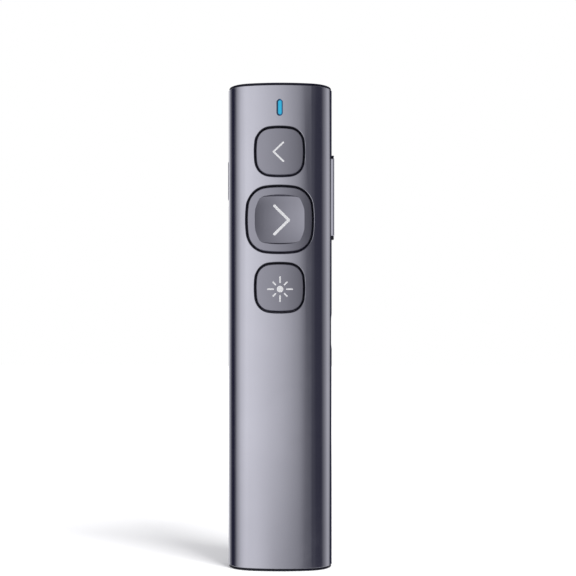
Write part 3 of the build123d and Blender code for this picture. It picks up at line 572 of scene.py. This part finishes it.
def complete(piece, body, slot, material=None):
    """Puts a piece's place into its mesh; gives it its body, and the finish of its slot or another."""
    make_active(piece)
    bpy.ops.object.transform_apply(location=True, rotation=True, scale=True)
    piece.data.materials.clear()
    piece.data.materials.append(material or finishes[slot])
    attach(piece, body)


# ---------------------------------------------------------------- printed legends on the keys

INK_THICKNESS = 0.12  # half of it is pressed into the key


def print_on(piece, key, body):
    """Prints flat artwork onto a key."""
    press_onto(piece, key)
    thicken(piece, INK_THICKNESS)
    complete(piece, body, "legend_print")


def chevron(name, tip, end, width):
    """An arrowhead of two strokes that meet in a mitre at the tip. Places are (x, z)."""
    reach = Vector((end[0] - tip[0], end[1] - tip[1]))
    angle = math.atan2(reach.y, reach.x)
    # The stroke runs through the tip, where the mitre is cut, and its other end is round.
    before, past = 2 * width, 0.5 * width
    length = before + reach.length + past
    piece = stroke(name, tip, -before, length, width, angle, round_start=False)
    bpy.ops.object.mode_set(mode="EDIT")
    bpy.ops.mesh.select_all(action="SELECT")
    bpy.ops.mesh.bisect(plane_co=(tip[0] * MM, 0, tip[1] * MM), plane_no=(0, 0, 1), clear_inner=True)
    # The outer corner of the mitre is blunt.
    outward = math.copysign(1, -reach.x)
    blunt = (tip[0] + 0.5 * outward * width) * MM
    bpy.ops.mesh.select_all(action="SELECT")
    bpy.ops.mesh.bisect(plane_co=(blunt, 0, 0), plane_no=(outward, 0, 0), clear_outer=True)
    bpy.ops.object.mode_set(mode="OBJECT")
    other_arm = piece.modifiers.new("other_arm", "MIRROR")
    other_arm.use_axis = (False, False, True)
    other_arm.merge_threshold = SAME * MM
    bpy.ops.object.modifier_apply(modifier="other_arm")
    return piece


def sunburst(name, centre, radius, long_ray, short_ray, width):
    """A disc with four long rays and four short ones. A ray is (start, end) from the centre."""
    place = (centre[0] * MM, AHEAD * MM, centre[1] * MM)
    insets = (0.4 * radius, 0.35 * radius)
    disc = flat_disc(name, radius, place, (math.pi / 2, 0, 0), vertices=40, insets=insets)
    quarter = math.pi / 2
    rays = []
    for (start, end), first in ((long_ray, 0.0), (short_ray, quarter / 2)):
        ray = stroke(f"{name}_ray", centre, start, end - start, width, first)
        rays.append(ray)
        for turn in range(1, 4):
            make_active(ray)
            bpy.ops.object.duplicate(linked=False)
            copy = bpy.context.object
            copy.rotation_euler = (0, turn * quarter, 0)
            rays.append(copy)
    return join([disc, *rays])


legend = chevron("prev_legend", tip=(-1.60, 110.02), end=(0.95, 112.48), width=0.46)
print_on(legend, "prev_key", "prev_button")
legend = chevron("next_legend", tip=(2.38, 92.26), end=(-1.38, 95.98), width=0.71)
print_on(legend, "next_key", "next_button")
legend = sunburst(
    "laser_legend", centre=(0.1, 74.0), radius=0.85, long_ray=(1.55, 3.4), short_ray=(1.46, 2.75), width=0.40
)
print_on(legend, "laser_key", "laser_button")

# ---------------------------------------------------------------- marks and grips on the sides and the back


def paint_rocker():
    """Light paint in the plus and the minus that are engraved in the volume rocker."""
    offset, length, width = 7.0, 1.76, 0.30  # of the signs from the rocker's middle, and of their bars
    engraving = 0.15
    thickness = 0.08
    low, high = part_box("volume_rocker")
    centre = (low.z + high.z) / (2 * MM)
    bars = []
    for height, angle in ((centre + offset, 0.0), (centre + offset, math.pi / 2), (centre - offset, 0.0)):
        bars.append(stroke("rocker_paint", (0, height), -length / 2, length, width, angle))
    # The plus's upright lies a hair lower than its crossbar, so that their faces don't coincide.
    bars[1].location.y += 0.01 * MM
    paint = join(bars)
    thicken(paint, thickness)
    paint.rotation_euler = (0, 0, math.pi / 2)
    paint.location = (high.x - (engraving - thickness / 2) * MM, 0, paint.location.z)
    complete(paint, "rocker", "legend_print")


def mark_power_slot():
    """A green dot in the power slot, which shows while the slider is up."""
    radius, inset, thickness, below_knob = 0.55, 0.12, 0.06, 1.0
    place = (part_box("power_guide")[0].x, 0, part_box("power_knob")[0].z - below_knob * MM)
    dot = flat_disc("power_dot", radius, place, (0, -math.pi / 2, 0), vertices=32, insets=(inset,))
    thicken(dot, thickness)
    paint = moulded("power_dot_paint", (0.03, 0.36, 0.07), 0.35, wear=0.0)
    complete(dot, "handset", "legend_print", paint)


def rib_receiver():
    """Four low ribs across the receiver's head, for the thumb that slides it out."""
    count, pitch, length, width, thickness, soft_edge = 4, 0.9, 7.0, 0.34, 0.2, 0.05
    above_head_foot = 3.3
    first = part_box("receiver_head")[0].z / MM + above_head_foot
    ribs = join([
        stroke("receiver_ribs", (0, first + pitch * number), -length / 2, length, width, 0.0, depth=BEHIND)
        for number in range(count)
    ])
    press_onto(ribs, "receiver_head", towards_back=False)
    thicken(ribs, thickness)
    make_active(ribs)
    soft = ribs.modifiers.new("soft_edges", "BEVEL")
    soft.width = soft_edge * MM
    soft.segments = 2
    soft.limit_method = "ANGLE"
    bpy.ops.object.modifier_apply(modifier="soft_edges")
    complete(ribs, "usb_receiver", "receiver_plastic")


paint_rocker()
mark_power_slot()
rib_receiver()

# ---------------------------------------------------------------- foam pad inside


def fit_foam_pad():
    """The foam between the key board and the battery: squeezed flat on both faces, with bulging sides."""
    bulge, corner, soft_side = 0.35 * MM, 1.2 * MM, 0.3 * MM
    low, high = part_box("battery_foam")
    middle = (low + high) / 2
    size = high - low
    flat = (size.x - 2 * bulge, size.y, size.z - 2 * bulge)
    deselect_all()
    bpy.ops.mesh.primitive_cube_add(size=1, location=middle)
    pad = bpy.context.object
    pad.name = "foam_pad"
    pad.scale = flat
    bpy.ops.object.transform_apply(location=False, rotation=False, scale=True)
    bpy.ops.object.mode_set(mode="EDIT")
    # The four edges that run from face to face are rounded.
    bpy.ops.mesh.select_all(action="SELECT")
    bpy.ops.mesh.select_mode(type="EDGE")
    mesh = bmesh.from_edit_mesh(pad.data)
    for edge in mesh.edges:
        edge.select = abs(edge.verts[0].co.y - edge.verts[1].co.y) > 0.5 * size.y
    bmesh.update_edit_mesh(pad.data)
    bpy.ops.mesh.bevel(offset=corner, segments=5)
    # A ring round the middle of the sides is widened, and rounded in its turn.
    bpy.ops.mesh.select_all(action="SELECT")
    bpy.ops.mesh.bisect(plane_co=(0, middle.y, 0), plane_no=(0, 1, 0))
    pick(pad, lambda spot: abs(spot.y) < 0.1)
    widened = (size.x / flat[0], 1, size.z / flat[2])
    bpy.ops.transform.resize(value=widened, center_override=middle)
    bpy.ops.mesh.bevel(offset=soft_side, segments=4)
    bpy.ops.object.mode_set(mode="OBJECT")
    bpy.ops.object.shade_smooth_by_angle(angle=math.radians(40))
    complete(pad, "handset", "foam_grey")
    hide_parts("battery_foam")


fit_foam_pad()

# ---------------------------------------------------------------- camera

CAMERA_DISTANCE = 316.0  # from the body's axis, in millimetres
CAMERA_HEIGHT = 59.3
CAMERA_SIDE = 5.3  # the viewpoint is a little to the right of the middle
CAMERA_TURN = math.radians(0.58)  # and looks back a little to the left
FOCAL_LENGTH = 73.37
SENSOR_WIDTH = 36.0
RISE = 0.0994  # upward shift, as a share of the picture's width

viewpoint = Vector((CAMERA_SIDE, -CAMERA_DISTANCE, CAMERA_HEIGHT)) * MM
bpy.ops.object.camera_add(location=viewpoint, rotation=(math.pi / 2, 0, CAMERA_TURN))
camera = bpy.context.object
camera.data.lens = FOCAL_LENGTH
camera.data.sensor_width = SENSOR_WIDTH
camera.data.shift_y = RISE
bpy.context.scene.camera = camera

# ---------------------------------------------------------------- floor and main light

FLOOR_SIZE = 6.0  # in metres
FLOOR_DROP = 0.02  # below the tail, so that the two don't coincide
FLOOR_TONE = 0.9
FLOOR_GLOW = 0.07  # near the clicker; it rises to 1 between the two distances that follow
GLOW_START, GLOW_END = 0.12, 0.5  # in metres from the clicker


def floor_paper():
    """White seamless paper: the clicker's shadow shows on it close by, and farther off it is evenly white."""
    material, tree, shader = new_material("floor_paper")
    distance = add(tree, "VectorMath", {0: object_place(tree)}, operation="LENGTH").outputs["Value"]
    glow = spread(tree, distance, GLOW_START, GLOW_END, FLOOR_GLOW, 1.0)
    feed(shader, {
        "Base Color": (FLOOR_TONE, FLOOR_TONE, FLOOR_TONE, 1),
        "Roughness": 0.9,
        "Specular IOR Level": 0.0,
        "Emission Color": blend(tree, glow, BLACK, WHITE),
        "Emission Strength": 1.0,
    })
    return material


def area_light(name, azimuth, elevation, distance, size, power):
    """A square soft light aimed at the middle of the clicker. Azimuth 0 is in front, 90 is to the right."""
    turn, rise = math.radians(azimuth), math.radians(elevation)
    target = Vector((0, 0, 0.06))
    offset = Vector((math.sin(turn) * math.cos(rise), -math.cos(turn) * math.cos(rise), math.sin(rise)))
    bpy.ops.object.light_add(type="AREA", location=target + offset * distance)
    light = bpy.context.object
    light.name = name
    light.data.size = size
    light.data.energy = power
    light.rotation_euler = offset.to_track_quat("Z", "Y").to_euler()
    light.visible_glossy = False  # the reflections are those of the studio's panels


bpy.ops.mesh.primitive_plane_add(size=FLOOR_SIZE, location=(0, 0, -FLOOR_DROP * MM))
floor = bpy.context.object
floor.name = "floor"
floor.data.materials.append(floor_paper())
floor.visible_glossy = False

area_light("main_light", azimuth=38, elevation=52, distance=1.2, size=0.46, power=13.5)

# ---------------------------------------------------------------- studio

# The studio's panels, as (direction, brightness): 0 degrees is in front of the clicker, 90 to its right.
PANELS = (
    (-180, 0.45), (-168, 0.40), (-158, 0.85), (-148, 0.85), (-135, 0.30), (-118, 0.02), (-103, 0.02),
    (-94, 0.12), (-85, 0.40), (-65, 0.78), (-50, 0.94), (-33, 1.02), (0, 0.69), (18, 0.42), (26, 0.12),
    (38, 0.09), (52, 0.05), (76, 0.045), (95, 0.30), (112, 0.58), (121, 0.62), (129, 0.45), (135, 0.02),
    (168, 0.03), (176, 0.35), (180, 0.45),
)
# How bright the panels are at a height, in degrees above the horizon, where they are mirrored; the first is
# straight below and the last straight overhead.
MIRRORED_HEIGHTS = (
    (-90, 0.30), (-60, 0.40), (-35, 0.80), (-15, 0.86), (-9, 0.90), (-4, 1.0), (8, 1.0), (22, 0.87),
    (30, 0.66), (45, 0.35), (60, 0.15), (90, 0.08),
)
# The same for the light that they cast on everything.
HEIGHTS = ((-90, 0.70), (-30, 0.80), (0, 1.0), (30, 0.80), (90, 0.75))

# High above, the panels merge into one even tone, and low down the pale floor takes their place. Both are
# sines of the angle with the horizon: where it starts, and where it is complete.
MERGED_ABOVE = (0.25, 0.80)
MERGED_BELOW = (-0.19, -0.52)

# A grey card lies low in front, a little to the right. Its edges are soft: each is given, in degrees, by
# where it starts and where the card has its full shade.
CARD_TURN = 13.0
CARD_SIDES = (36.0, 12.0)
CARD_TOP = (-6.5, -11.5)
CARD_BOTTOM = (-18.0, -13.5)
CARD_SHADE = 0.30

COOL_CAST = (0.0, 0.0, 0.022, 1)  # a trace of blue, added in every direction


def levels(tree, value, low, high, stops):
    """Brightness by a value that runs from low to high, with straight lines between the stops."""
    inputs = {"Value": value, "From Min": low, "From Max": high, "To Min": 0.0, "To Max": 1.0}
    ramp = add(tree, "ValToRGB", {"Fac": add(tree, "MapRange", inputs).outputs["Result"]})
    elements = ramp.color_ramp.elements
    for _ in stops[2:]:
        elements.new(0.5)
    for element, (place, level) in zip(elements, stops, strict=True):
        element.position = (place - low) / (high - low)
        element.color = (level, level, level, 1)
    return ramp.outputs["Color"]


def studio():
    """The world: soft panels round the clicker, fading above and below, and plain white for the camera."""
    world = bpy.data.worlds.new("studio")
    bpy.context.scene.world = world
    world.use_nodes = True
    tree = world.node_tree
    direction = split(tree, add(tree, "TexCoord").outputs["Generated"])
    ahead = math_node(tree, "MULTIPLY", direction["Y"], -1.0)
    turn = math_node(tree, "DEGREES", math_node(tree, "ARCTAN2", direction["X"], ahead))
    rise = math_node(tree, "DEGREES", math_node(tree, "ARCSINE", direction["Z"]))
    path = add(tree, "LightPath").outputs

    above, below = (spread(tree, direction["Z"], *merged) for merged in (MERGED_ABOVE, MERGED_BELOW))
    steep = math_node(tree, "MAXIMUM", above, below)
    panels = blend(tree, steep, levels(tree, turn, -180, 180, PANELS), WHITE)
    cast, mirrored = (levels(tree, rise, -90, 90, stops) for stops in (HEIGHTS, MIRRORED_HEIGHTS))
    falling_off = blend(tree, path["Is Glossy Ray"], cast, mirrored)
    lit = blend(tree, 1.0, panels, falling_off, kind="MULTIPLY")

    aside = math_node(tree, "ABSOLUTE", math_node(tree, "SUBTRACT", turn, CARD_TURN))
    upright = math_node(tree, "MULTIPLY", spread(tree, rise, *CARD_TOP), spread(tree, rise, *CARD_BOTTOM))
    card = math_node(tree, "MULTIPLY", spread(tree, aside, *CARD_SIDES, 0.0, CARD_SHADE), upright)
    cool = blend(tree, 1.0, blend(tree, card, lit, BLACK), COOL_CAST, kind="ADD")
    feed(tree.nodes["Background"], {"Color": blend(tree, path["Is Camera Ray"], cool, WHITE)})


studio()
bpy.context.scene.view_settings.view_transform = "Standard"
